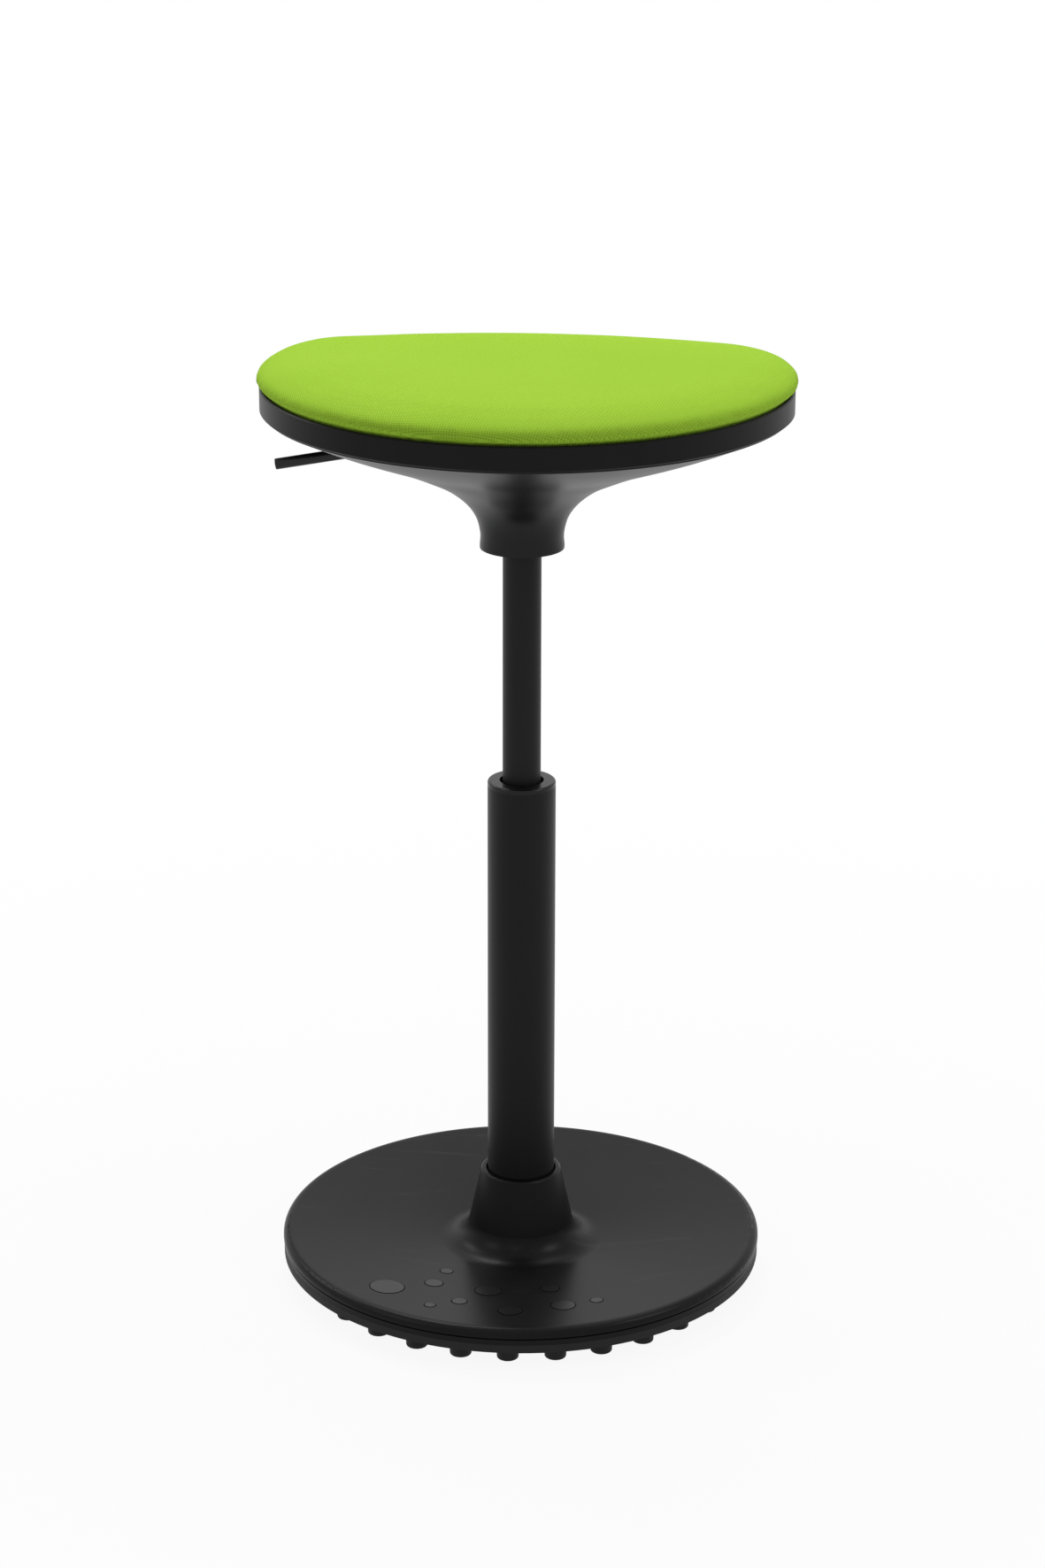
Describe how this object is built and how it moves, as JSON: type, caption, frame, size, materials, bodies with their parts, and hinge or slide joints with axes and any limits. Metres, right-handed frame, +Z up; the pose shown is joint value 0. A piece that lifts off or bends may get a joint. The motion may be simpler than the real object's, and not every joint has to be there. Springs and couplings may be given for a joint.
{
  "type": "office stool",
  "caption": "Height-adjustable sit-stand stool: upholstered rounded seat on a gas lift, side lever, and a round dished base with a studded rubber sole.",
  "frame": {"origin": "on the floor, in the axis of the column", "axes": "+Z up along the column, -Y towards the front of the seat, -X towards the height lever"},
  "size_m": [0.3868, 0.3606, 0.6924],
  "materials": {
    "sole_rubber": "matte",
    "coated_steel": "satin",
    "bare_steel": "satin",
    "dot_rubber": "satin",
    "base_plastic": "satin",
    "column_coating": "fine powder coat",
    "liner_plastic": "satin",
    "brass_cage": "satin",
    "seal_rubber": "matte",
    "rod_chrome": "polished",
    "tube_coating": "fine powder coat",
    "lever_coating": "satin",
    "seat_plastic": "satin",
    "rim_plastic": "satin",
    "board_wood": "raw plywood",
    "foam": "open-cell foam",
    "lime_fabric": "fine woven"
  },
  "bodies": {
    "base": {"studded_sole": "sole_rubber", "base_plate": "coated_steel", "hub_socket": "bare_steel", "grip_dots": "dot_rubber", "base_cover": "base_plastic", "cover_screws": "bare_steel", "column_tube": "column_coating", "end_disc": "bare_steel", "guide_bushing": "liner_plastic", "lower_race": "bare_steel"},
    "core": {"upper_race": "bare_steel", "ball_cage": "brass_cage", "bearing_balls": "bare_steel", "bumper": "seal_rubber", "piston_rod": "rod_chrome", "rod_clip": "bare_steel", "rod_washer": "bare_steel", "piston": "bare_steel", "piston_seal": "seal_rubber", "piston_nut": "bare_steel"},
    "lift": {"pressure_tube": "tube_coating", "rod_guide": "liner_plastic", "rod_seal": "seal_rubber", "inner_cylinder": "bare_steel", "valve_body": "brass_cage", "taper_socket": "bare_steel", "lever_bracket": "bare_steel", "mounting_plate": "bare_steel", "plate_screws": "bare_steel", "tee_nuts": "bare_steel", "pivot_pin": "bare_steel", "pin_clip": "bare_steel", "under_cover": "seat_plastic", "under_cover_screws": "bare_steel", "seat_rim": "rim_plastic", "seat_board": "board_wood", "seat_foam": "foam", "seat_cover": "lime_fabric"},
    "lever": {"lever_rod": "lever_coating"},
    "valve_pin": {"release_pin": "bare_steel"}
  },
  "joints": [
    {"name": "swivel", "type": "hinge", "parent": "base", "child": "core", "pos_m": [0, 0, 0.034], "axis": [0, 0, 1], "continuous": true},
    {"name": "height", "type": "slide", "parent": "core", "child": "lift", "axis": [0, 0, 1], "range_m": [-0.16, 0]},
    {"name": "lever_tilt", "type": "hinge", "parent": "lift", "child": "lever", "pos_m": [-0.038, 0, 0.6457], "axis": [0, 1, 0], "range_deg": [0, 4.5], "stiffness_Nm_per_rad": 20, "springref_deg": -2.86},
    {"name": "pin_press", "type": "slide", "parent": "lift", "child": "valve_pin", "axis": [0, 0, -1], "range_m": [0, 0.003]}
  ],
  "couplings": [
    {"joint": "pin_press", "follows": "lever_tilt", "m_per_rad": 0.038}
  ]
}
